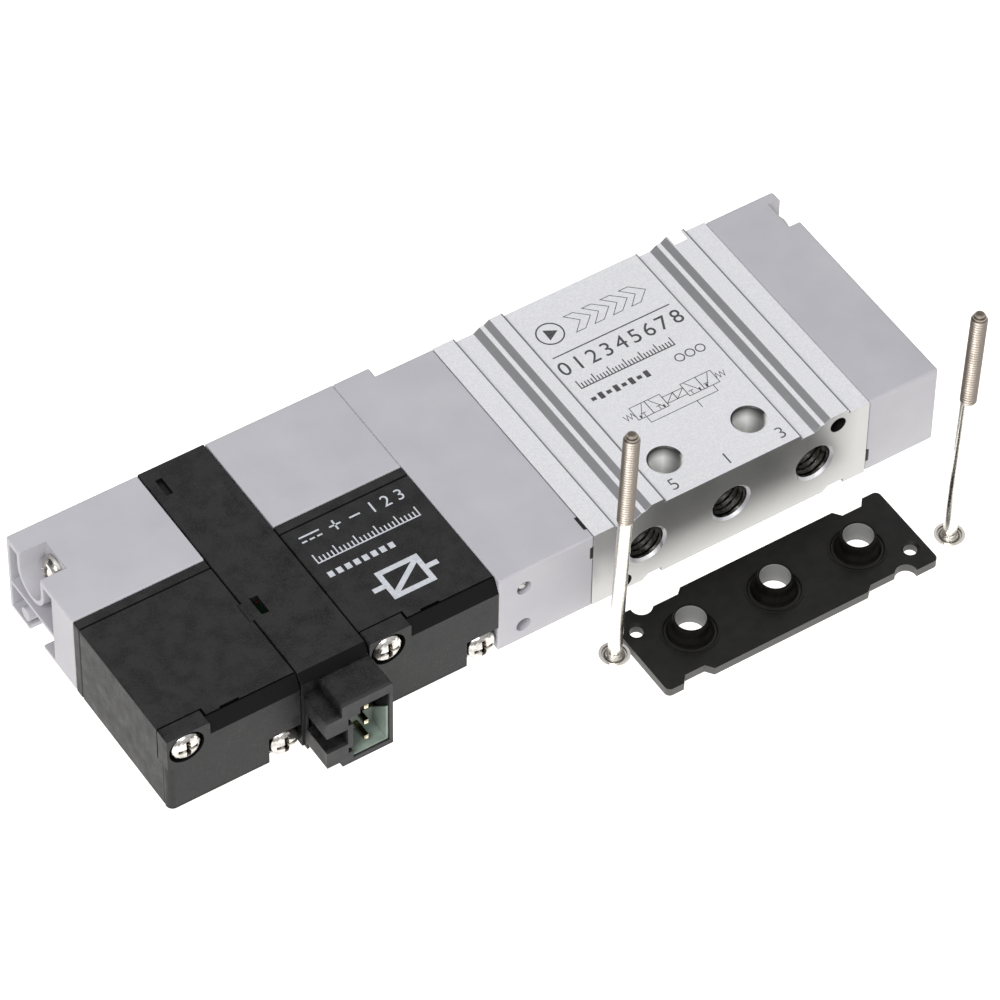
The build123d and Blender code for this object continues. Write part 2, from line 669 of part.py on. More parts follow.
def override_button(x):
    at = (x, Z_AXIS)
    face = Y_PILOT_BACK - OVERRIDE_RECESS
    body = rod("Y", (face, face - 2.6), at, OVERRIDE_R)
    body += rod("Y", (face - 2.6, face - 7.6), at, OVERRIDE_STEM_R)
    body -= ring("Y", (face - 1.9, face - 1.2), at, 1.05, OVERRIDE_R + 1)
    return body - block((x - 1.2, x + 1.2), (face - 0.6, face + THROUGH), (Z_AXIS - 0.2, Z_AXIS + 0.2))


def override_seal(x):
    return o_ring("Y", Y_PILOT_BACK - OVERRIDE_RECESS - 1.55, (x, Z_AXIS), 1.07, OVERRIDE_R + 0.03)


def override_spring(x):
    top = Y_PILOT_BACK - OVERRIDE_RECESS - 2.62
    return spring("Y", (Y_PILOT_BACK - 4.98, top), (x, Z_AXIS), 1.12, 0.14, 4)


# Terminal cover, socket and contacts


def dished_panel(x, y):
    """Shallow hollow in the strap's top, with gently sloping sides."""
    slope_width = 0.7
    top = Rectangle(x[1] - x[0], y[1] - y[0])
    floor = Rectangle(x[1] - x[0] - 2 * slope_width, y[1] - y[0] - 2 * slope_width)
    middle = ((x[0] + x[1]) / 2, (y[0] + y[1]) / 2)
    hollow = loft([Pos(0, 0, DISH_DEPTH) * top, floor])
    return Pos(*middle, THICKNESS - DISH_DEPTH) * hollow


def terminal_cover():
    """Strap that bridges the two solenoids, with latch windows and a sloped front."""
    x = (X_STRAP_LEFT + STRAP_GAP, X_STRAP_RIGHT - STRAP_GAP)
    body = block(x, (Y_FRONT, Y_PILOT_BACK), (THICKNESS - STRAP_THICKNESS, THICKNESS))
    body = fillet(body.edges().filter_by(Axis.Y).sort_by(Axis.Z)[-2:], 0.2)
    inner = (x[0] + 0.1, x[1] - 0.1)
    body += block(inner, (Y_FRONT, Y_FRONT + 1.0), (SOCKET_TOP + SEAM, THICKNESS - 0.3))
    body -= front_wedge((x[0] - THROUGH, x[1] + THROUGH), 11.0, Y_FRONT + 0.85)
    body -= dished_panel((x[0] + 1.1, x[1] - 0.8), (-16.0, 13.2))
    body -= block((x[0] + 1.3, x[0] + 2.2), (14.7, 17.5), (THICKNESS - 0.6, THICKNESS + THROUGH))
    body -= block((x[0] + 1.2, x[0] + 2.3), (-7.1, -4.2), (THICKNESS - 2, THICKNESS + THROUGH))
    return body + block((X_STRAP_LEFT - 0.4, x[0] + 0.1), (-7.4, -4.5), (THICKNESS - 0.6, THICKNESS))


def socket_front():
    """Plug socket with its latch rail and foot on the left."""
    y = (SOCKET_FRONT, Y_FRONT + 0.1)
    body = block((SOCKET_LEFT, SOCKET_RIGHT), y, (0, SOCKET_TOP))
    side = (X_STRAP_LEFT + 0.4, SOCKET_LEFT + 0.5)
    body += block(side, y, (6.4, 9.1))
    body += block(side, y, (1.0, 3.7))
    body = chamfer(body.edges().filter_by(Axis.Y).sort_by(Axis.Z)[-2:], 0.2)
    rail_gap = (side[0] - THROUGH, CAVITY_LEFT - 0.7)
    body -= block(rail_gap, (SOCKET_FRONT - THROUGH, y[1] - 0.6), (3.7, 6.4))
    cavity_y = (SOCKET_FRONT - THROUGH, y[1] + THROUGH)
    body -= block((CAVITY_LEFT, CAVITY_RIGHT), cavity_y, (CAVITY_FLOOR, CAVITY_TOP))
    body += block((CAVITY_LEFT, CAVITY_LEFT + 1.0), y, (8.3, CAVITY_TOP))
    for key in ((2.0, 2.9), (7.0, 8.2)):
        body -= block((CAVITY_LEFT - 0.65, CAVITY_LEFT), (SOCKET_FRONT - THROUGH, y[1] - 1.2), key)
    return body - block((X_STRAP_LEFT, SOCKET_LEFT - 0.3), (SOCKET_FRONT - THROUGH, y[1]), (-1, 1.0))


def socket_housing():
    """Socket and, behind it, the tray that holds the circuit board."""
    wall = 0.8
    x = (X_STRAP_LEFT + 0.15, X_STRAP_RIGHT - 0.15)
    y = (Y_FRONT + SEAM, SPLIT_Y - 0.1)
    top = THICKNESS - 1.25
    tray = block(x, y, (0, top))
    tray -= block((x[0] + wall, x[1] - wall), (y[0] + wall, y[1] - wall), (wall, top + THROUGH))
    tray -= block((x[0] - 1, x[1] + 1), (y[0] - 1, Y_FRONT + 1.1), (SOCKET_TOP, top + THROUGH))
    body = tray + socket_front()
    slot = (PIN_X - 0.5, PIN_X + 0.5)
    body -= block(slot, (y[0] - THROUGH, y[0] + wall + THROUGH), (PIN_Z[0] - 0.5, PIN_Z[2] + 0.5))
    for rib_x in (x[0] + 0.25, x[0] + 0.95):
        body += block((rib_x, rib_x + 0.3), (y[0] - 0.7, y[0]), (0.0, 6.4))
    for y_pin in terminal_places():
        body -= rod("X", (x[0] - 1, x[0] + wall + 0.2), (y_pin, 8.0), 0.4)
        body -= rod("X", (x[1] + 1, x[1] - wall - 0.2), (y_pin, 8.0), 0.4)
    return body


def terminal_places():
    """Where the coil leads could cross into the tray, along Y."""
    return (-2.5, 0.5)


def pin_holes():
    """Room for the three pins through the plates behind the cavity."""
    half = PIN_SIZE / 2 + 0.02
    x = (PIN_X - half, PIN_X + half)
    y = (CARRIER_FRONT - THROUGH, Y_FRONT + THROUGH)
    return [block(x, y, (z - half, z + half)) for z in PIN_Z]


def contact_carrier():
    """Low plate behind the cavity, with a thin liner on the floor and the right wall."""
    gap = 0.05
    liner = 0.3
    x = (CAVITY_LEFT + gap, CAVITY_RIGHT - gap)
    floor = CAVITY_FLOOR + gap
    lip = SOCKET_FRONT + 0.25
    body = block(x, (CARRIER_FRONT, Y_FRONT), (floor, CARRIER_SPLIT))
    body += block(x, (lip, CARRIER_FRONT), (floor, floor + liner))
    corners = [(lip, floor), (CARRIER_FRONT, floor), (CARRIER_FRONT, CARRIER_SPLIT), (lip, 6.9)]
    wall = make_face(Polyline(*corners, close=True))
    body += Pos(x[1] - liner, 0, 0) * extrude(Plane.YZ * wall, liner)
    for hole in pin_holes():
        body -= hole
    return body


def contact_backing():
    """Plate above the carrier that closes the rest of the cavity's back."""
    gap = 0.05
    x = (CAVITY_LEFT + gap, CAVITY_RIGHT - gap)
    y = (CARRIER_FRONT + 0.1, Y_FRONT)
    body = block(x, y, (CARRIER_SPLIT + gap, CAVITY_TOP - gap))
    body -= block((x[0] - 1, CAVITY_LEFT + 1.05), (y[0] - 1, y[1] + 1), (8.25, CAVITY_TOP + 1))
    for hole in pin_holes():
        body -= hole
    return body


def contact_pins():
    """Three square pins, each bent up to the circuit board."""
    half = PIN_SIZE / 2
    pins = []
    for row, z in enumerate(PIN_Z):
        tail = -12.6 - 1.5 * row
        pin = block((PIN_X - half, PIN_X + half), (-22.3, tail + half), (z - half, z + half))
        tip = pin.faces().sort_by(Axis.Y)[0]
        pin = chamfer(tip.edges(), 0.15)
        pin += block((PIN_X - half, PIN_X + half), (tail - half, tail + half), (z - half, 10.5))
        pins.append(pin)
    return pins


def circuit_board():
    x = (X_STRAP_LEFT + 1.3, X_STRAP_RIGHT - 1.3)
    body = block(x, (-16.6, 2.4), (9.4, 10.2))
    for row in range(3):
        tail = -12.6 - 1.5 * row
        hole = PIN_SIZE / 2 + 0.05
        body -= block((PIN_X - hole, PIN_X + hole), (tail - hole, tail + hole), (9, 11))
    return body


def board_components():
    """Two indicator lamps, two diodes and a resistor on the board."""
    middle = (X_STRAP_LEFT + X_STRAP_RIGHT) / 2
    lamp = (1.6, 1.2)
    diode = (1.4, 2.4)
    resistor = (2.0, 1.2)
    layout = [(lamp, -1.4, 1.0), (lamp, 1.6, 1.0)]
    layout += [(diode, -1.5, -2.4), (diode, 1.6, -2.4), (resistor, 0.2, -7.8)]
    pieces = []
    for size, across, along in layout:
        x = (middle + across - size[0] / 2, middle + across + size[0] / 2)
        y = (along - size[1] / 2, along + size[1] / 2)
        pieces.append(block(x, y, (10.2, 11.1)))
    return pieces


# Loose pieces


def half_gasket_outline():
    """Corners of half the base gasket's edge, from its left end along the back."""
    return [
        (-GASKET_LENGTH / 2, 6.65),
        (-15.9, 6.65),
        (-15.9, 5.6),
        (-10.2, 5.6),
        (-9.4, 6.35),
        (12.9, 6.35),
        (13.7, 5.3),
        (16.5, 5.3),
        (17.3, 6.3),
        (GASKET_LENGTH / 2, 6.3),
    ]


def collar():
    """Raised collar round one opening of the gasket, hollowed underneath."""
    ring_top = GASKET_THICKNESS + 0.15
    return turned(
        [
            (2.5, 0),
            (3.6, 0),
            (3.6, ring_top),
            (3.35, ring_top),
            (3.2, GASKET_THICKNESS),
            (2.95, GASKET_THICKNESS + 0.05),
            (2.75, 1.9),
            (2.4, 2.5),
            (2.25, 3.4),
            (2.1, COLLAR_HEIGHT),
            (1.95, COLLAR_HEIGHT),
            (COLLAR_HOLE_R, COLLAR_HEIGHT - 0.15),
            (COLLAR_HOLE_R, 0.7),
            (2.5, 0.7),
        ]
    )


def base_gasket():
    """Rubber sheet with three raised collars, the same after half a turn."""
    half = half_gasket_outline()
    corners = half + [(-x, -y) for x, y in half]
    outline = make_face(Polyline(*corners, close=True))
    ends = outline.vertices().filter_by(lambda v: abs(v.X) > GASKET_LENGTH / 2 - 0.1)
    outline = fillet(ends, 0.75)
    sheet = extrude(outline, GASKET_THICKNESS)
    for turn in (1, -1):
        sheet -= Pos(-14.95 * turn, 6.4 * turn, 0) * Cylinder(1.4, 4)
        hole = Pos(-17.6 * turn, 3.45 * turn, 0)
        sheet -= hole * Cylinder(0.85, 4)
        sheet -= hole * Pos(0, 0, GASKET_THICKNESS - 0.1) * Cone(0.85, 1.3, 0.25)
    for x in (-PORT_PITCH, 0, PORT_PITCH):
        sheet -= Pos(x, 0, 0) * Cylinder(2.8, 4)
        sheet += Pos(x, 0, 0) * collar()
    return Pos(*GASKET_CENTRE, 0) * sheet


def thread_outline(start, end, root, crest, pitch):
    """Teeth of a thread, as (radius, height) points."""
    points = []
    turns = int((end - start) / pitch)
    for turn in range(turns):
        z = start + turn * pitch
        points += [(root, z), (crest, z + pitch * 0.4), (crest, z + pitch * 0.55)]
    return points + [(root, start + turns * pitch)]


def mounting_screw(place):
    """Long cap screw stood on its head, leaning a little."""
    head_r = 1.92
    head = 1.05
    shank_r = 0.875
    thread_start = LONG_SCREW_LENGTH - 14.8
    tip = LONG_SCREW_LENGTH - 0.5
    outline = [
        (0, 0),
        (head_r * 0.72, 0),
        (head_r * 0.88, 0.2),
        (head_r * 0.97, 0.4),
        (head_r, 0.6),
        (head_r, head),
        (head_r - 0.35, head),
        (head_r - 0.42, head - 0.22),
        (head_r - 0.6, head - 0.22),
        (head_r - 0.68, head - 0.02),
        (shank_r + 0.28, head - 0.12),
        (shank_r + 0.1, head + 0.12),
        (shank_r, head + 0.5),
        (shank_r, thread_start - 0.2),
    ]
    outline += thread_outline(thread_start, tip, 0.84, 1.03, 0.4)
    outline.append((0.8, tip))
    outline.append((0.6, LONG_SCREW_LENGTH - 0.12))
    outline += [(0.35, LONG_SCREW_LENGTH), (0, LONG_SCREW_LENGTH)]
    screw = turned(outline) - Rot(180, 0, 0) * phillips_cut(0.6, 1.2, 0.8)
    lift = head_r * 0.72 * math.sin(math.radians(LONG_SCREW_LEAN))
    return Pos(*place, lift) * Rot(0, LONG_SCREW_LEAN, 0) * screw


def all_parts():
    """Every named piece; a list is a group of identical or paired solids."""
    parts = {
        "valve_body": valve_body(),
        "adapter_plate": adapter_plate(),
        "end_cap": end_cap(),
        "pilot_block": pilot_block(),
        "pilot_gasket": pilot_gasket(),
        "pilot_screw": pilot_screw(),
        "adapter_screws": adapter_screws(),
        "end_cap_screws": end_cap_screws(),
        "gallery_ball": gallery_ball(),
        "coil_screws": coil_screws(),
        "terminal_cover": terminal_cover(),
        "socket_housing": socket_housing(),
        "contact_carrier": contact_carrier(),
        "contact_backing": contact_backing(),
        "contact_pins": contact_pins(),
        "circuit_board": circuit_board(),
        "board_components": board_components(),
        "base_gasket": base_gasket(),
    }
    for name, side in (("left", -1), ("right", 1)):
        parts[f"body_gasket_{name}"] = end_gasket(side)
        parts[f"spool_{name}"] = spool(side)
        parts[f"spool_seals_{name}"] = spool_seals(side)
        parts[f"piston_seal_{name}"] = piston_seal(side)
        parts[f"spool_spring_{name}"] = spool_spring(side)
        parts[f"mounting_screw_{name}"] = mounting_screw(LONG_SCREW_PLACES[name])
    coil_pieces = (bobbin, winding, yoke, yoke_plate, fixed_core)
    armature_pieces = (armature, armature_seal, armature_spring, pilot_o_ring)
    override_pieces = (override_button, override_seal, override_spring)
    for name, x in coil_axes().items():
        x0 = x - COIL_AXIS
        parts[f"coil_moulding_{name}"] = coil_moulding(x0, tab_notch=name == "left")
        parts[f"coil_front_cover_{name}"] = coil_front_cover(x0)
        parts[f"coil_back_frame_{name}"] = coil_back_frame(x0)
        for make in coil_pieces + armature_pieces + override_pieces:
            parts[f"{make.__name__}_{name}"] = make(x)
    return parts


def main():
    os.makedirs(OUT, exist_ok=True)
    for name, shape in all_parts().items():
        if isinstance(shape, list):
            shape = Compound(children=shape)
        export_step(shape, f"{OUT}/{name}.step")


main()
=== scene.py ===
import json
import math

import bmesh
import bpy
from mathutils import Euler, Matrix, Vector


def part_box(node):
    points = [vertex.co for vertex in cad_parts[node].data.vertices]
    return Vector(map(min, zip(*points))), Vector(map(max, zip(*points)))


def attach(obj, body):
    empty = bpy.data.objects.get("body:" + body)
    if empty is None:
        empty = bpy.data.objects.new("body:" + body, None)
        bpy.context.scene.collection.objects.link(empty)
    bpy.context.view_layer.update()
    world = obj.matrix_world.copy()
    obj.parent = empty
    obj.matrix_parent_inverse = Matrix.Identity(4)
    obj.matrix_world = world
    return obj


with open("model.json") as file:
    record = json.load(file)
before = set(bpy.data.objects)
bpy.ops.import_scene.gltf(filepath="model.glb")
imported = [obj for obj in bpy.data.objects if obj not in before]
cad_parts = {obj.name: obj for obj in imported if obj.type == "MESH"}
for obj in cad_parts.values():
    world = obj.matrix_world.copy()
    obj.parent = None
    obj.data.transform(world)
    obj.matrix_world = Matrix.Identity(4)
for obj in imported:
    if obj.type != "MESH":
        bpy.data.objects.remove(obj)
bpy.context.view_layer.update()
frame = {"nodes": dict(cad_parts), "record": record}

MM = 0.001
NODES = frame["nodes"]
MOUNTS = {mount["name"]: mount for mount in frame["record"]["mounts"]}
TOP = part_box("adapter_plate")[1].z / MM
PORT_FACE_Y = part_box("valve_body")[0].y / MM
# Feet of the steps on the body's top, and the width of the painted shadow line before each.
RELIEF_EDGES = (-16.93, -9.95, 9.9, 16.87)
RELIEF_SHADOW_WIDTH = 0.2
# Coil screw counterbores, from the left end of each front cover.
COUNTERBORE_X = 2.6
COUNTERBORE_Z = 10.15
COUNTERBORE_R = 2.33


def mm(*values):
    """Millimetres to a vector in metres."""
    return Vector(values) * MM


# Materials


class Graph:
    """A material's node tree, with short calls for the nodes used here."""

    def __init__(self, name, **settings):
        self.material = bpy.data.materials.new(name)
        self.material.use_nodes = True
        self.tree = self.material.node_tree
        self.shader = self.tree.nodes["Principled BSDF"]
        self.coords = self.node("ShaderNodeTexCoord").outputs["Object"]
        for key, value in settings.items():
            self.shader.inputs[key.replace("_", " ")].default_value = value

    def node(self, kind, links=(), **settings):
        """New node with its settings, and its inputs linked from sockets."""
        made = self.tree.nodes.new(kind)
        for key, value in settings.items():
            if hasattr(made, key):
                setattr(made, key, value)
            else:
                made.inputs[key.replace("_", " ")].default_value = value
        for key, source in dict(links).items():
            self.tree.links.new(source, made.inputs[key])
        return made

    def noise(self, size_mm, detail=4.0, rough=0.55, scale=(1, 1, 1)):
        """Noise whose features are about size_mm across."""
        stretched = self.node("ShaderNodeMapping", {"Vector": self.coords}, Scale=scale)
        made = self.node(
            "ShaderNodeTexNoise",
            {"Vector": stretched.outputs["Vector"]},
            Scale=1.0 / (size_mm * MM),
            Detail=detail,
            Roughness=rough,
        )
        return made.outputs["Fac"]

    def ramp(self, value, low, high, start=0.0, end=1.0):
        """Value mapped from low..high to start..end."""
        made = self.node("ShaderNodeMapRange", {"Value": value})
        for key, number in zip(("From Min", "From Max", "To Min", "To Max"), (low, high, start, end)):
            made.inputs[key].default_value = number
        return made.outputs["Result"]

    def math(self, operation, a, b=0.0):
        """Sum, product or the like of two numbers, each a value or a socket."""
        made = self.node("ShaderNodeMath", operation=operation)
        for socket, value in zip(made.inputs, (a, b)):
            if isinstance(value, (int, float)):
                socket.default_value = value
            else:
                self.tree.links.new(value, socket)
        return made.outputs["Value"]

    def mix(self, factor, a, b):
        """Blend of two colours, each a tuple or a socket."""
        made = self.node("ShaderNodeMix", data_type="RGBA")
        self.tree.links.new(factor, made.inputs["Factor"])
        for name, value in (("A", a), ("B", b)):
            socket = [s for s in made.inputs if s.name == name and s.type == "RGBA"][0]
            if isinstance(value, tuple):
                socket.default_value = (*value, 1.0)
            else:
                self.tree.links.new(value, socket)
        return [s for s in made.outputs if s.type == "RGBA"][0]

    def blend(self, factor, a, b):
        """Blend of two numbers that vary over the surface."""
        made = self.node("ShaderNodeMix", {"Factor": factor, "A": a, "B": b}, data_type="FLOAT")
        return made.outputs["Result"]

    def facing(self, axis):
        """How far the surface's own normal points along an axis, -1 to 1."""
        normal = self.node("ShaderNodeTexCoord").outputs["Normal"]
        split = self.node("ShaderNodeSeparateXYZ", {"Vector": normal})
        return split.outputs["XYZ".index(axis)]

    def along(self, axis):
        """Position along one axis, in metres."""
        split = self.node("ShaderNodeSeparateXYZ", {"Vector": self.coords})
        return split.outputs["XYZ".index(axis)]

    def near(self, axes, first_mm, second_mm, radius_mm):
        """Mask of what lies close to a line, given by its place on the two axes across it."""
        across = self.math("SUBTRACT", self.along(axes[0]), first_mm * MM)
        up = self.math("SUBTRACT", self.along(axes[1]), second_mm * MM)
        squared = self.math("ADD", self.math("MULTIPLY", across, across), self.math("MULTIPLY", up, up))
        distance = self.math("SQRT", squared)
        return self.ramp(distance, (radius_mm + 0.06) * MM, (radius_mm + 0.01) * MM)

    def hollows(self, reach_mm):
        """Mask that falls from 1 in the open to 0 deep inside recesses."""
        made = self.node("ShaderNodeAmbientOcclusion", samples=8, Distance=reach_mm * MM)
        return self.ramp(made.outputs["AO"], 0.25, 0.75)

    def bump(self, height, distance_mm, strength=1.0, edge_mm=0.0):
        """Relief on the surface, with its edges rounded where edge_mm is given."""
        made = self.node("ShaderNodeBump", {"Height": height}, Strength=strength, Distance=distance_mm * MM)
        if edge_mm:
            soft = self.node("ShaderNodeBevel", samples=4, Radius=edge_mm * MM)
            self.tree.links.new(soft.outputs["Normal"], made.inputs["Normal"])
        self.tree.links.new(made.outputs["Normal"], self.shader.inputs["Normal"])

    def out(self, name, socket):
        """Link a socket to one of the shader's inputs."""
        self.tree.links.new(socket, self.shader.inputs[name])


def light_plastic():
    """Filled plastic, smooth with a faint cloudiness and a fine spark-eroded grain."""
    g = Graph("light_plastic", Specular_IOR_Level=0.40)
    cloud = g.noise(9.0, 3.0)
    grain = g.noise(0.20, 5.0, 0.65)
    base = g.mix(g.ramp(cloud, 0.35, 0.65), (0.455, 0.447, 0.475), (0.495, 0.487, 0.512))
    fleck = g.ramp(grain, 0.60, 0.78)
    g.out("Base Color", g.mix(fleck, base, (0.54, 0.53, 0.555)))
    g.out("Roughness", g.ramp(grain, 0.3, 0.7, 0.40, 0.54))
    g.bump(grain, 0.02, 0.35, edge_mm=0.18)
    return g.material


def black_plastic():
    """Glass-filled black moulding: cloudy in its gloss, finely grained, with a painted dark reflection on
    its slanted front faces and painted shade in its counterbores and recesses.
    """
    g = Graph("black_plastic")
    grain = g.noise(0.20, 4.0, 0.6)
    swirl = g.noise(2.4, 5.0, 0.65)
    base = g.mix(g.ramp(swirl, 0.38, 0.60), (0.0030, 0.0030, 0.0035), (0.0170, 0.0168, 0.0175))
    base = g.mix(g.ramp(grain, 0.48, 0.72), base, (0.026, 0.0255, 0.0265))
    mouth = g.ramp(g.along("Y"), -22.4 * MM, -22.7 * MM)
    base = g.mix(mouth, base, (0.030, 0.030, 0.0315))
    # Painted dark reflection on the slanted front faces, and painted shade in the coil screw counterbores
    # and deep recesses: nearly black there, and less glossy.
    up = g.math("ABSOLUTE", g.facing("Z"))
    forward = g.math("MULTIPLY", g.facing("Y"), -1.0)
    painted_shade_and_reflection = g.math("MULTIPLY", g.ramp(up, 0.15, 0.30), g.ramp(forward, 0.30, 0.50))
    for node in ("coil_front_cover_left", "coil_front_cover_right"):
        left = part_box(node)[0].x / MM
        hole = g.near("XZ", left + COUNTERBORE_X, COUNTERBORE_Z, COUNTERBORE_R)
        painted_shade_and_reflection = g.math("MAXIMUM", painted_shade_and_reflection, hole)
    deep = g.math("SUBTRACT", 1.0, g.hollows(1.6))
    painted_shade_and_reflection = g.math("MAXIMUM", painted_shade_and_reflection, deep)
    g.out("Base Color", g.mix(painted_shade_and_reflection, base, (0.0040, 0.0040, 0.0040)))
    g.out("Specular IOR Level", g.ramp(painted_shade_and_reflection, 0.0, 1.0, 0.36, 0.12))
    g.out("Roughness", g.ramp(swirl, 0.3, 0.7, 0.38, 0.62))
    g.bump(g.math("ADD", grain, g.math("MULTIPLY", swirl, 2.0)), 0.03, 0.45, edge_mm=0.14)
    return g.material


def body_aluminium():
    """Blasted and anodised extrusion, with its cut faces milled to a satin grey; painted shade on its side
    faces, step edges and bores, painted light and shade on its milled faces and in its cross holes.
    """
    g = Graph("body_aluminium")
    speckle = g.noise(0.24, 4.0, 0.8)
    cloud = g.noise(5.0, 3.0)
    skin = g.mix(g.ramp(speckle, 0.42, 0.58), (0.87, 0.87, 0.91), (1.0, 1.0, 1.0))
    skin = g.mix(g.ramp(cloud, 0.3, 0.7, 0.0, 0.2), skin, (0.94, 0.94, 0.99))
    # Painted shade: faces turned along X, the slopes of the steps and the ends, are painted a darker grey
    # than the top.
    sideways = g.math("ABSOLUTE", g.facing("X"))
    skin = g.mix(g.ramp(sideways, 0.2, 0.5), skin, (0.50, 0.50, 0.515))
    # Painted shadow: a dark line on the top at each step down.
    for edge in RELIEF_EDGES:
        before = g.ramp(g.along("X"), (edge - RELIEF_SHADOW_WIDTH) * MM, (edge - RELIEF_SHADOW_WIDTH + 0.02) * MM)
        after = g.ramp(g.along("X"), (edge + 0.16) * MM, (edge + 0.14) * MM)
        skin = g.mix(g.math("MULTIPLY", before, after), skin, (0.26, 0.26, 0.265))
    cut = g.ramp(g.math("ABSOLUTE", g.facing("Y")), 0.75, 0.9)
    # Painted light and shade on the milled faces: darker towards the top and the middle, lighter towards the
    # bottom and the ends.
    face = g.mix(g.ramp(g.along("Z"), 0.5 * MM, 7.0 * MM), (0.52, 0.52, 0.51), (0.235, 0.235, 0.23))
    ends = g.ramp(g.math("ABSOLUTE", g.along("X")), 11.0 * MM, 18.5 * MM)
    face = g.mix(ends, face, (0.56, 0.56, 0.55))
    face = g.mix(g.ramp(speckle, 0.35, 0.70, 0.0, 0.04), face, (0.90, 0.90, 0.89))
    colour = g.mix(cut, skin, face)
    metallic = g.ramp(cut, 0.0, 1.0, 0.74, 0.70)
    rough = g.blend(cut, g.ramp(speckle, 0.3, 0.7, 0.36, 0.50), g.ramp(cloud, 0.3, 0.7, 0.30, 0.38))
    # Painted shade: the walls of the mounting bores are painted nearly black.
    for name in ("mounting_bore_high", "mounting_bore_low"):
        x, y, z = (value / MM for value in MOUNTS[name]["pos_m"])
        bore = g.near("XZ", x, z, MOUNTS[name]["dims"]["r_mm"])
        colour = g.mix(bore, colour, (0.030, 0.028, 0.026))
    x, y, z = (value / MM for value in MOUNTS["cross_holes"]["pos_m"])
    holes = MOUNTS["cross_holes"]["dims"]
    # Painted light and shade in the cross holes: dark at the rim and the sides, lit deeper down in the
    # middle and on the side towards the front.
    for side in (-1, 1):
        middle = x + side * holes["spacing_x_mm"] / 2
        wall = g.near("XY", middle, y, holes["hole_r_mm"] + 0.16)
        across = g.math("ABSOLUTE", g.math("SUBTRACT", g.along("X"), middle * MM))
        depth = g.ramp(g.along("Z"), (TOP - 0.2) * MM, (TOP - 1.9) * MM)
        lit = g.math("MULTIPLY", depth, g.ramp(across, 2.0 * MM, 1.0 * MM, 0.25, 1.0))
        near_side = g.ramp(g.along("Y"), y * MM, (y - 1.0) * MM)
        lit = g.math("MAXIMUM", lit, near_side)
        colour = g.mix(wall, colour, g.mix(lit, (0.030, 0.029, 0.027), (1.0, 1.0, 0.98)))
        metallic = g.math("MULTIPLY", metallic, g.ramp(wall, 0.0, 1.0, 1.0, 0.20))
    g.out("Base Color", colour)
    g.out("Metallic", metallic)
    g.out("Roughness", rough)
    g.bump(g.math("MULTIPLY", speckle, g.ramp(cut, 0.0, 1.0, 1.0, 0.02)), 0.02, 0.6, edge_mm=0.10)
    return g.material


def tapped_aluminium():
    """Freshly cut thread, painted nearly black as the shade deep inside the ports."""
    g = Graph("tapped_aluminium", Metallic=1.0)
    mottle = g.noise(0.5, 4.0, 0.6)
    # Painted shade: the thread is nearly black, mottled between two dark tones.
    g.out("Base Color", g.mix(g.ramp(mottle, 0.35, 0.65), (0.020, 0.019, 0.016), (0.085, 0.082, 0.075)))
    g.out("Roughness", g.ramp(mottle, 0.3, 0.7, 0.26, 0.42))
    g.bump(mottle, 0.01, 0.4)
    return g.material


def plated_steel(name="plated_steel", tint=(0.90, 0.865, 0.815), rough=0.10):
    """Bright nickel plate, blotched by handling, with painted shade that makes it nearly black in its
    recesses.
    """
    g = Graph(name, Metallic=1.0)
    scuff = g.noise(0.6, 5.0, 0.7)
    cloud = g.noise(1.1, 3.0)
    darker = tuple(c * 0.62 for c in tint)
    plate = g.mix(g.ramp(cloud, 0.38, 0.62), tint, darker)
    # Painted shade: nearly black deep in recesses, where ambient occlusion is low.
    recess_shade = tuple(c * 0.10 for c in tint)
    g.out("Base Color", g.mix(g.hollows(0.6), recess_shade, plate))
    g.out("Roughness", g.ramp(scuff, 0.35, 0.75, rough, rough + 0.16))
    g.bump(scuff, 0.03, 0.6)
    return g.material


RIDGE_PITCH = 0.4 * MM
RIDGE_SCALE = math.pi / (10.0 * RIDGE_PITCH)
SCREW_THREAD = 14.8
SCREW_HEAD = 1.2


def long_screw_steel():
    """Mounting screw: cream plated shank, dull thread with painted light and shade on its turns, and a
    scuffed head with painted shade in its recess.
    """
    g = Graph("long_screw_steel", Metallic=1.0)
    scuff = g.noise(0.5, 5.0, 0.7, scale=(1, 1, 0.3))
    low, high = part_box("mounting_screw_left")
    thread_foot = high.z - SCREW_THREAD * MM
    threaded = g.ramp(g.along("Z"), thread_foot - 0.1 * MM, thread_foot + 0.1 * MM)
    shank = g.mix(g.ramp(scuff, 0.35, 0.65), (0.95, 0.925, 0.87), (0.80, 0.77, 0.71))
    # Painted light and shade: the thread's turns in bands of dark and light.
    thread_shading = g.node("ShaderNodeTexWave", {"Vector": g.coords}, bands_direction="Z", Scale=RIDGE_SCALE)
    thread = g.mix(thread_shading.outputs["Fac"], (0.075, 0.065, 0.054), (0.48, 0.42, 0.36))
    # Painted shade: the head turns nearly black in its cross recess.
    head = g.mix(g.hollows(0.5), (0.05, 0.045, 0.04), (0.88, 0.84, 0.78))
    colour = g.mix(threaded, shank, thread)
    head_top = low.z + SCREW_HEAD * MM
    above = g.ramp(g.along("Z"), head_top - 0.1 * MM, head_top + 0.1 * MM)
    g.out("Base Color", g.mix(above, head, colour))
    dulled = g.ramp(threaded, 0.0, 1.0, 0.0, 0.2)
    g.out("Roughness", g.math("ADD", g.ramp(scuff, 0.3, 0.7, 0.18, 0.34), dulled))
    g.bump(scuff, 0.02, 0.5)
    return g.material


SHEET_TOP = 1.30
COLLAR_BORE = 1.88


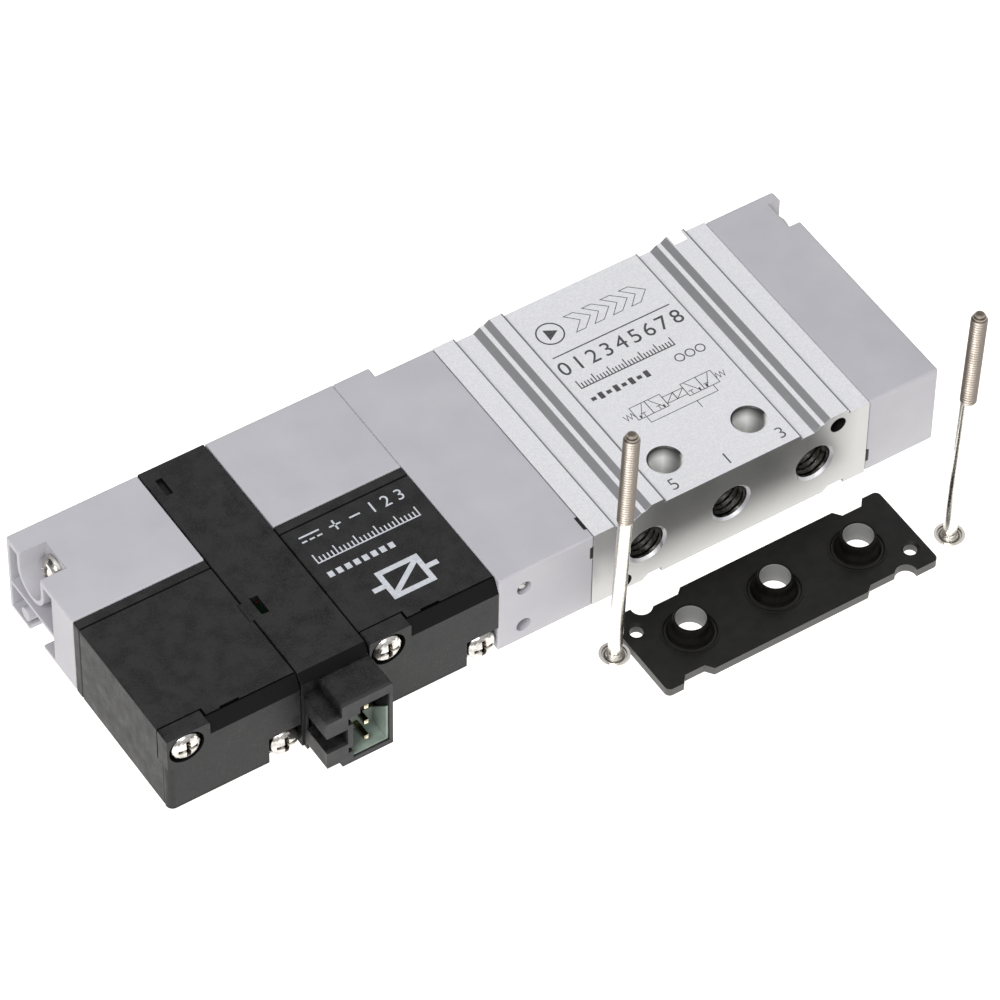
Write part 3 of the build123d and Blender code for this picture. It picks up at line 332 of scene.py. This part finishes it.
def gasket_rubber():
    """Moulded rubber: glossy black, with a painted sheen that makes the sheet's side faces paler and painted
    light that makes the walls inside the collars paler.
    """
    g = Graph("gasket_rubber")
    grain = g.noise(0.12, 4.0, 0.6)
    bloom = g.noise(2.0, 3.0)
    colour = g.mix(g.ramp(bloom, 0.35, 0.65), (0.0030, 0.0028, 0.0022), (0.0075, 0.0070, 0.0058))
    low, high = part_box("base_gasket")
    # Painted sheen: the sheet's side faces, below its top, are a paler grey.
    edge = g.ramp(g.math("ABSOLUTE", g.facing("Z")), 0.5, 0.2)
    sheet = g.ramp(g.along("Z"), SHEET_TOP * MM, (SHEET_TOP - 0.15) * MM)
    colour = g.mix(g.math("MULTIPLY", edge, sheet), colour, (0.085, 0.084, 0.082))
    middle = (low + high) / (2 * MM)
    pitch = MOUNTS["port_3"]["pos_m"][0] / MM
    # Painted light: the walls inside the collars are a pale grey.
    for x in (middle.x - pitch, middle.x, middle.x + pitch):
        colour = g.mix(g.near("XY", x, middle.y, COLLAR_BORE), colour, (0.22, 0.22, 0.215))
    g.out("Base Color", colour)
    g.out("Specular IOR Level", g.ramp(g.along("Z"), SHEET_TOP * MM, (SHEET_TOP + 0.3) * MM, 0.30, 0.06))
    g.out("Roughness", g.ramp(grain, 0.3, 0.7, 0.34, 0.48))
    g.bump(grain, 0.02, 0.5)
    return g.material


def contact_gold():
    """Gold-plated pins, with painted shade that darkens their sides; bright gold on their tips."""
    g = Graph("contact_gold", Metallic=1.0)
    grain = g.noise(0.3, 4.0, 0.6)
    tip = g.ramp(g.facing("Y"), -0.35, -0.6)
    # Painted shade: the pins' sides are a dark gold.
    side = g.mix(g.ramp(grain, 0.35, 0.65), (0.20, 0.165, 0.07), (0.09, 0.075, 0.035))
    g.out("Base Color", g.mix(tip, side, (0.98, 0.90, 0.66)))
    g.out("Roughness", g.ramp(grain, 0.3, 0.7, 0.18, 0.34))
    g.bump(grain, 0.01, 0.4)
    return g.material


def metal(name, light, dark, rough, size=0.4):
    """Bare metal between two tones, with a fine grain of a given size."""
    g = Graph(name, Metallic=1.0)
    grain = g.noise(size, 4.0, 0.6)
    g.out("Base Color", g.mix(g.ramp(grain, 0.35, 0.65), dark, light))
    g.out("Roughness", g.ramp(grain, 0.3, 0.7, rough, rough + 0.15))
    g.bump(grain, 0.01, 0.4)
    return g.material


def moulding(name, light, dark, rough, size=0.2, specular=0.45, cloud=3.0):
    """Plastic or rubber, clouded between two tones and finely grained."""
    g = Graph(name, Specular_IOR_Level=specular)
    grain = g.noise(size, 4.0, 0.6)
    g.out("Base Color", g.mix(g.ramp(g.noise(cloud, 3.0), 0.35, 0.65), dark, light))
    g.out("Roughness", g.ramp(grain, 0.3, 0.7, rough, rough + 0.15))
    g.bump(grain, 0.02, 0.5)
    return g.material


MATERIALS = {
    "light_plastic": light_plastic(),
    "black_plastic": black_plastic(),
    "body_aluminium": body_aluminium(),
    "plated_steel": plated_steel(),
    "ball_steel": plated_steel("ball_steel", (0.50, 0.49, 0.48), 0.08),
    "black_rubber": moulding(
        "black_rubber", (0.0125, 0.012, 0.0105), (0.008, 0.0078, 0.007), 0.42, size=0.12, specular=0.30
    ),
    "spool_aluminium": metal("spool_aluminium", (0.78, 0.76, 0.66), (0.68, 0.66, 0.58), 0.22),
    "spring_steel": metal("spring_steel", (0.62, 0.61, 0.60), (0.48, 0.47, 0.46), 0.25),
    "soft_iron": metal("soft_iron", (0.52, 0.52, 0.53), (0.42, 0.42, 0.43), 0.30),
    "bobbin_plastic": moulding("bobbin_plastic", (0.78, 0.76, 0.68), (0.72, 0.70, 0.62), 0.45),
    "copper_wire": metal("copper_wire", (0.72, 0.30, 0.14), (0.55, 0.20, 0.09), 0.28, 0.3),
    "yoke_steel": metal("yoke_steel", (0.58, 0.60, 0.62), (0.46, 0.47, 0.50), 0.30),
    "board_laminate": moulding("board_laminate", (0.012, 0.045, 0.022), (0.009, 0.033, 0.016), 0.35),
    "board_parts": moulding("board_parts", (0.45, 0.05, 0.04), (0.35, 0.04, 0.03), 0.25),
    "contact_gold": contact_gold(),
    "carrier_plastic": moulding(
        "carrier_plastic", (0.27, 0.33, 0.28), (0.21, 0.26, 0.22), 0.42, cloud=1.5
    ),
}
INK_BLACK = moulding("ink_black", (0.045, 0.045, 0.05), (0.10, 0.10, 0.105), 0.5, 0.08, 0.35, 0.3)
INK_WHITE = moulding("ink_white", (0.62, 0.64, 0.67), (0.50, 0.52, 0.55), 0.5, 0.08, 0.35, 0.4)
THREAD = tapped_aluminium()

OWN_MATERIALS = {
    "base_gasket": gasket_rubber(),
    "mounting_screw_left": long_screw_steel(),
}
OWN_MATERIALS["mounting_screw_right"] = OWN_MATERIALS["mounting_screw_left"]

for part in frame["record"]["subparts"]:
    node = NODES[part["node"]]
    node.data.materials.clear()
    node.data.materials.append(OWN_MATERIALS.get(part["node"], MATERIALS[part["material_slot"]]))


# Pieces


def add_piece(name, mesh, material, body="valve"):
    """Object for a mesh, with its material, on a body of the frame."""
    mesh.materials.clear()
    mesh.materials.append(material)
    piece = bpy.data.objects.new(name, mesh)
    bpy.context.scene.collection.objects.link(piece)
    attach(piece, body)
    return piece


THREAD_PITCH = 0.8
THREAD_DEPTH = 0.38
THREAD_STEPS = 8
THREAD_SIDES = 48


def thread_radius(wall, length, along, turn):
    """Radius of a tapped hole's surface at a depth and a fraction of a turn."""
    phase = (along / THREAD_PITCH - turn) % 1.0
    tooth = 1.0 - abs(2.0 * phase - 1.0)
    runout = min(1.0, along / THREAD_PITCH, (length - along) / THREAD_PITCH)
    return wall - 0.01 - THREAD_DEPTH * tooth * max(0.0, runout)


def tapped_thread(mount):
    """Helical thread that lines one port, as a thin closed sleeve."""
    length = mount["dims"]["length_mm"]
    wall = mount["dims"]["r_mm"]
    centre = Vector(mount["pos_m"])
    rings = int(length / THREAD_PITCH * THREAD_STEPS) + 1
    shape = bmesh.new()
    loops = []
    for ring in range(rings + 2):
        loop = []
        for side in range(THREAD_SIDES):
            turn = side / THREAD_SIDES
            along = length * min(ring, rings - 1) / (rings - 1)
            radius = thread_radius(wall, length, along, turn)
            if ring >= rings:
                along = length * (rings + 1 - ring)
                radius = wall - 0.002
            angle = 2 * math.pi * turn
            offset = mm(radius * math.cos(angle), along - length / 2, radius * math.sin(angle))
            loop.append(shape.verts.new(centre + offset))
        loops.append(loop)
    for low, high in zip(loops, loops[1:] + loops[:1]):
        for side in range(THREAD_SIDES):
            after = (side + 1) % THREAD_SIDES
            shape.faces.new((low[side], low[after], high[after], high[side]))
    bmesh.ops.recalc_face_normals(shape, faces=shape.faces)
    mesh = bpy.data.meshes.new("thread_" + mount["name"])
    shape.to_mesh(mesh)
    shape.free()
    add_piece("thread_" + mount["name"], mesh, THREAD)


for port in ("port_1", "port_2", "port_3", "port_4", "port_5"):
    tapped_thread(MOUNTS[port])


# Printing: flat strokes and figures a hair above the surface

PRINT_LOW = -0.01
PRINT_HIGH = 0.015


class Print:
    """Marks drawn in millimetres on one level, gathered into one mesh."""

    def __init__(self, level):
        self.level = level
        self.shape = bmesh.new()

    def prism(self, outline):
        """Flat closed mark with the given corners."""
        low = [self.shape.verts.new(mm(x, y, self.level + PRINT_LOW)) for x, y in outline]
        high = [self.shape.verts.new(mm(x, y, self.level + PRINT_HIGH)) for x, y in outline]
        self.shape.faces.new(high)
        self.shape.faces.new(low[::-1])
        for i in range(len(outline)):
            j = (i + 1) % len(outline)
            self.shape.faces.new((low[i], low[j], high[j], high[i]))

    def line(self, start, end, width):
        a, b = Vector(start), Vector(end)
        side = (b - a).normalized().orthogonal() * width / 2
        self.prism([a - side, b - side, b + side, a + side])

    def path(self, points, width, closed=False):
        """Connected strokes that meet in mitred corners."""
        places = [Vector(point) for point in points]
        runs = [(b - a).normalized() for a, b in zip(places, places[1:] + places[:1])]
        rims = []
        for i, place in enumerate(places):
            first = i == 0 and not closed
            last = i == len(places) - 1 and not closed
            arrive = runs[i] if first else runs[i - 1]
            leave = runs[i - 1] if last else runs[i]
            across = (arrive + leave).normalized().orthogonal()
            reach = across * width / 2 / max(0.35, across.dot(leave.orthogonal()))
            rims.append((place - reach, place + reach))
        if closed:
            rims.append(rims[0])
        for (a, b), (c, d) in zip(rims, rims[1:]):
            self.prism([a, c, d, b])

    def arc(self, centre, radius, width, first=0.0, last=360.0, sides=24):
        """Arc or ring as short prisms, angles in degrees."""
        for step in range(sides):
            corners = []
            for turn, r in ((0, -1), (1, -1), (1, 1), (0, 1)):
                angle = math.radians(first + (last - first) * (step + turn) / sides)
                reach = radius + r * width / 2
                corners.append((centre[0] + reach * math.cos(angle), centre[1] + reach * math.sin(angle)))
            self.prism(corners)

    def figure(self, text, centre, height, weight=0.0):
        """Numeral of a given height, centred on a point; weight thickens its strokes."""
        curve = bpy.data.curves.new("figure", "FONT")
        curve.body = text
        curve.offset = weight
        curve.extrude = (PRINT_HIGH - PRINT_LOW) / 2
        letter = bpy.data.objects.new("figure", curve)
        mesh = bpy.data.meshes.new_from_object(letter)
        xs = [v.co.x for v in mesh.vertices]
        ys = [v.co.y for v in mesh.vertices]
        scale = height / (max(ys) - min(ys))
        middle = Vector(((max(xs) + min(xs)) / 2, (max(ys) + min(ys)) / 2, 0))
        shift = Vector((*centre, self.level + (PRINT_HIGH + PRINT_LOW) / 2))
        place = Matrix.Translation(shift) @ Matrix.Diagonal((scale, scale, 1, 1))
        mesh.transform(Matrix.Scale(MM, 4) @ place @ Matrix.Translation(-middle))
        self.shape.from_mesh(mesh)
        bpy.data.objects.remove(letter)
        bpy.data.curves.remove(curve)
        bpy.data.meshes.remove(mesh)

    def finish(self, name, material):
        mesh = bpy.data.meshes.new(name)
        self.shape.to_mesh(mesh)
        self.shape.free()
        add_piece(name, mesh, material)


THIN = 0.12
FINE = 0.09


def emblem(ink, x, y, radius):
    """Plain round mark: the triangle that stands for compressed air, in a ring."""
    ink.arc((x, y), radius, THIN * 1.6, sides=32)
    corners = []
    for turn in range(3):
        angle = math.radians(120 * turn)
        corners.append((x + 0.62 * radius * math.cos(angle), y + 0.62 * radius * math.sin(angle)))
    ink.prism(corners)


def chevrons(ink, x, y, width, height, count, pitch):
    """Row of outlined flow arrows."""
    for i in range(count):
        left = x + i * pitch
        nose = left + width
        shoulder = left + width * 0.45
        notch = left + width * 0.5
        outline = [(left, y), (shoulder, y), (nose, y + height / 2)]
        outline += [(shoulder, y + height), (left, y + height), (notch, y + height / 2)]
        ink.path(outline, FINE, closed=True)


def scale_bar(ink, x, y, length, count, height, width):
    """Ruler ticks, every fifth one taller."""
    for i in range(count + 1):
        tall = height if i % 5 == 0 else height * 0.6
        at = x + length * i / count
        ink.line((at, y + width / 2), (at, y + tall), width)
    ink.line((x - width / 2, y), (x + length + width / 2, y), width)


def valve_symbol(ink, x, y, mirror):
    """Half of the circuit sign of a three-way valve: two squares, arrows and a spring."""
    size = 2.2
    for box in range(2):
        left = x + box * size
        ink.path([(left, y), (left + size, y), (left + size, y + size), (left, y + size)], FINE, closed=True)
        slant = (0.5, 1.7) if (box == 0) == mirror else (1.7, 0.5)
        ink.line((left + slant[0], y + 0.1), (left + slant[1], y + size - 0.1), FINE)
        ink.line((left + slant[0], y + 0.1), (left + slant[0], y + 0.55), FINE * 2.5)
        rest = left + (1.1 if mirror else 0.6)
        ink.line((rest, y + 0.1), (rest, y + 0.7), FINE)
        ink.line((rest - 0.35, y + 0.7), (rest + 0.35, y + 0.7), FINE)
    end = x if mirror else x + 2 * size
    step = -0.28 if mirror else 0.28
    zigzag = [(end + step * i, y + 0.55 + (0.9 if i % 2 else 0.0)) for i in range(6)]
    ink.path(zigzag, FINE)
    coil = x + 2 * size if mirror else x - 1.5
    outline = [(coil, y + 0.4), (coil + 1.5, y + 0.4), (coil + 1.5, y + 1.6), (coil, y + 1.6)]
    ink.path(outline, FINE, closed=True)
    ink.line((coil, y + 0.4), (coil + 1.5, y + 1.6), FINE)


def body_printing():
    """Port numbers, circuit sign, rule and neutral marks on the body's top."""
    ink = Print(TOP)
    margin = -8.2
    for text, x in (("5", -7.45), ("1", 0.3), ("3", 8.1)):
        ink.figure(text, (x, PORT_FACE_Y + 1.8), 1.75, weight=-0.012)
    ink.line((-8.5, 8.65), (8.55, 8.65), 0.17)
    emblem(ink, -6.5, 12.3, 1.75)
    chevrons(ink, -3.6, 10.8, 3.0, 3.0, 4, 2.7)
    for i in range(9):
        ink.figure(str(i), (margin + 2.05 * i, 6.5), 2.2)
    scale_bar(ink, margin, 2.7, 13.6, 30, 1.4, THIN * 1.3)
    for i in range(8):
        ink.line((margin + 1.1 * i, 0.5), (margin + 0.65 + 1.1 * i, 0.5), 1.1 if i % 2 else 0.55)
    for i in range(3):
        ink.arc((4.7 + 1.5 * i, 0.6), 0.6, THIN * 1.3, sides=16)
    valve_symbol(ink, -5.2, -5.3, mirror=True)
    valve_symbol(ink, 2.2, -5.3, mirror=False)
    ink.path([(-4.1, -5.3), (-4.1, -6.4), (5.6, -6.4), (5.6, -5.3)], FINE)
    ink.line((2.5, -6.4), (2.5, -7.6), FINE)
    ink.finish("body_printing", INK_BLACK)


def coil_printing():
    """Neutral electrical signs on the right-hand solenoid's top."""
    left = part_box("coil_moulding_right")[0].x / MM
    ink = Print(TOP)
    margin = left + 1.6
    stroke = 0.24
    ink.line((margin, 0.5), (left + 4.4, 0.5), stroke)
    for i in range(3):
        ink.line((margin + 1.05 * i, -0.3), (margin + 0.7 + 1.05 * i, -0.3), stroke)
    ink.line((left + 5.6, 0.1), (left + 7.2, 0.1), stroke)
    ink.line((left + 6.4, -0.7), (left + 6.4, 0.9), stroke)
    ink.line((left + 8.4, 0.1), (left + 9.9, 0.1), stroke)
    for i in range(3):
        ink.figure(str(i + 1), (left + 11.6 + 1.9 * i, 0.1), 1.7)
    scale_bar(ink, margin, -4.0, 14.2, 25, 1.5, 0.18)
    for i in range(8):
        ink.line((margin + 1.2 * i, -6.2), (margin + 0.75 + 1.2 * i, -6.2), 0.9)
    wide = 0.72
    nib = 0.5
    low_x, high_x = left + 6.6, left + 11.8
    low_y, high_y = -13.2, -9.2
    box = [(low_x, low_y), (high_x, low_y), (high_x, high_y), (low_x, high_y)]
    ink.path(box, wide, closed=True)
    x, far_x = low_x + wide / 2, high_x - wide / 2
    y, far_y = low_y + wide / 2, high_y - wide / 2
    middle = (low_y + high_y) / 2
    slash = [(x, y), (x + nib, y), (far_x, far_y - nib)]
    slash += [(far_x, far_y), (far_x - nib, far_y), (x, y + nib)]
    ink.prism(slash)
    ink.line((left + 4.7, middle), (x - wide, middle), wide)
    ink.line((far_x + wide, middle), (left + 13.7, middle), wide)
    ink.finish("coil_printing", INK_WHITE)


body_printing()
coil_printing()


# Stage: floor, light and camera


def floor_material():
    """White sweep, lit from below near the object and greyer further away."""
    g = Graph("studio_floor", Roughness=0.9, Specular_IOR_Level=0.2)
    cloud = g.noise(60.0, 2.0)
    g.out("Base Color", g.mix(g.ramp(cloud, 0.3, 0.7), (0.20, 0.20, 0.20), (0.22, 0.22, 0.22)))
    g.shader.inputs["Emission Color"].default_value = (1.0, 0.985, 0.96, 1.0)
    away = g.node("ShaderNodeVectorMath", {"Vector": g.coords}, operation="LENGTH").outputs["Value"]
    g.out("Emission Strength", g.ramp(away, 0.14, 0.45, 1.20, 0.55))
    return g.material


def make_floor():
    """Wide floor just under the object."""
    mesh = bpy.data.meshes.new("floor")
    grid = bmesh.new()
    bmesh.ops.create_grid(grid, x_segments=1, y_segments=1, size=3.0)
    grid.to_mesh(mesh)
    grid.free()
    floor = bpy.data.objects.new("floor", mesh)
    floor.location.z = -0.0001
    bpy.context.scene.collection.objects.link(floor)
    mesh.materials.append(floor_material())


LAMP_DISTANCE = 0.9
LAMP_COLOUR = (0.98, 0.985, 1.0)


def softbox(name, direction, size, watts):
    """Area light aimed at the object from a direction."""
    data = bpy.data.lights.new(name, "AREA")
    data.shape = "RECTANGLE"
    data.size, data.size_y = size
    data.energy = watts
    data.color = LAMP_COLOUR
    lamp = bpy.data.objects.new(name, data)
    lamp.location = Vector(direction).normalized() * LAMP_DISTANCE
    lamp.rotation_euler = Vector(direction).to_track_quat("Z", "Y").to_euler()
    bpy.context.scene.collection.objects.link(lamp)


def make_world():
    """Pale room, brighter overhead, with a dark flag behind and to the left."""
    world = bpy.data.worlds.new("studio")
    world.use_nodes = True
    tree = world.node_tree
    background = tree.nodes["Background"]
    direction = tree.nodes.new("ShaderNodeTexCoord").outputs["Generated"]

    def towards(aim, low, high, start, end):
        dot = tree.nodes.new("ShaderNodeVectorMath")
        dot.operation = "DOT_PRODUCT"
        tree.links.new(direction, dot.inputs[0])
        dot.inputs[1].default_value = Vector(aim).normalized()
        spread = tree.nodes.new("ShaderNodeMapRange")
        spread.interpolation_type = "SMOOTHSTEP"
        tree.links.new(dot.outputs["Value"], spread.inputs["Value"])
        for key, number in zip(("From Min", "From Max", "To Min", "To Max"), (low, high, start, end)):
            spread.inputs[key].default_value = number
        return spread.outputs["Result"]

    def product(a, b):
        level = tree.nodes.new("ShaderNodeMath")
        level.operation = "MULTIPLY"
        tree.links.new(a, level.inputs[0])
        tree.links.new(b, level.inputs[1])
        return level.outputs["Value"]

    flag = towards((-0.62, 0.55, 0.56), 0.72, 0.97, 1.0, 0.12)
    overhead = towards((0.1, 0.1, 1.0), 0.70, 1.0, 0.58, 0.92)
    horizon = towards((0.0, 0.0, 1.0), 0.0, 0.40, 0.50, 1.0)
    tree.links.new(product(product(flag, overhead), horizon), background.inputs["Strength"])
    background.inputs["Color"].default_value = (0.985, 0.985, 1.0, 1.0)
    bpy.context.scene.world = world
    bpy.context.scene.view_settings.view_transform = "Standard"


CAMERA_PLACE = (-290.68, -405.0, 557.26)
CAMERA_TURN = (41.25, -0.639, -32.871)
CAMERA_LENS = 218.91


def make_camera():
    """Long lens above the pilot end, towards the port face."""
    data = bpy.data.cameras.new("camera")
    data.lens = CAMERA_LENS
    data.sensor_width = 36.0
    data.clip_start = 0.01
    camera = bpy.data.objects.new("camera", data)
    camera.location = mm(*CAMERA_PLACE)
    camera.rotation_euler = Euler([math.radians(angle) for angle in CAMERA_TURN])
    bpy.context.scene.collection.objects.link(camera)
    bpy.context.scene.camera = camera


make_floor()
make_world()
make_camera()
softbox("key", (-0.60, -0.35, 0.72), (0.30, 0.30), 4.3)
softbox("front", (-0.20, -0.75, 0.65), (0.30, 0.20), 1.1)
